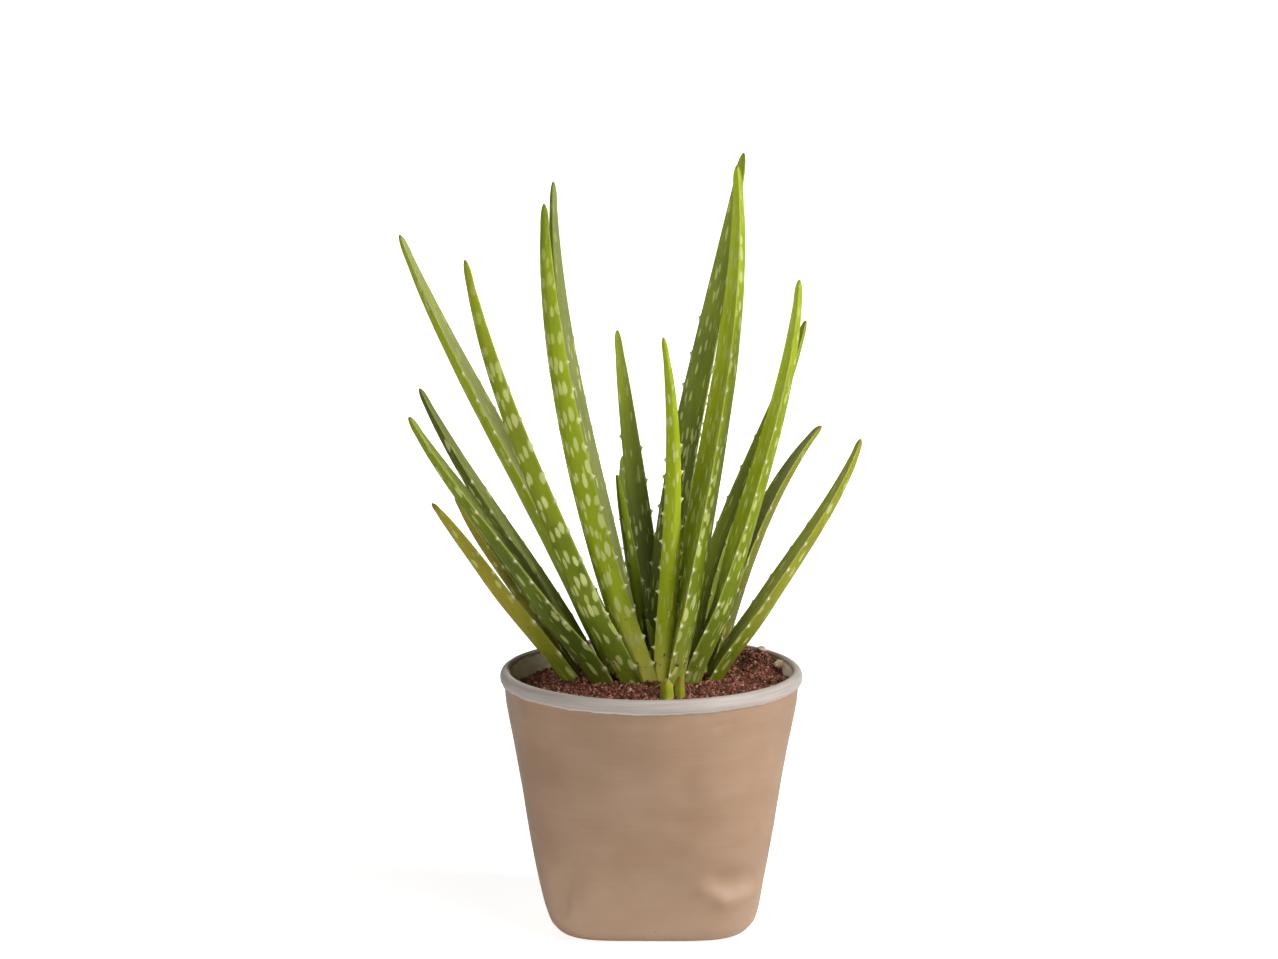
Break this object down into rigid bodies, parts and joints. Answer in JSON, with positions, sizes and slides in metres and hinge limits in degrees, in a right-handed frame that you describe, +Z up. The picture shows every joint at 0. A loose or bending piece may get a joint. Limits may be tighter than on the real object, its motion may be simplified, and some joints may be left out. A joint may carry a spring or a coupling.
{
  "type": "potted aloe vera",
  "caption": "Aloe vera clump of upright, toothed and spotted leaves in a soil-filled, softly square clay pot that stands on its flat base.",
  "frame": {"origin": "centre of the pot's flat underside", "axes": "+Z up through the pot and along its height, -Y towards the front, the side that a viewer faces, +X to the viewer's right"},
  "size_m": [0.2127, 0.16, 0.353],
  "materials": {
    "clay": "satin",
    "potting_soil": "matt",
    "leaf": "satin"
  },
  "bodies": {
    "root": {"pot": "clay", "soil": "potting_soil", "leaf_left_lowest": "leaf", "leaf_left_lowest_back": "leaf", "leaf_left_low_front": "leaf", "leaf_left_low_back": "leaf", "leaf_left_tall_back": "leaf", "leaf_left_tall_front": "leaf", "leaf_front_left": "leaf", "leaf_front_left_inner": "leaf", "leaf_small_inner": "leaf", "leaf_back_low": "leaf", "leaf_back_centre": "leaf", "leaf_spear": "leaf", "leaf_back_right_tall": "leaf", "leaf_front_centre": "leaf", "leaf_front_right_tall": "leaf", "leaf_right_back": "leaf", "leaf_right_front": "leaf", "leaf_right_low_back": "leaf", "leaf_right_low_front": "leaf", "pup_leaf_left": "leaf", "pup_leaf_right": "leaf"}
  },
  "joints": []
}
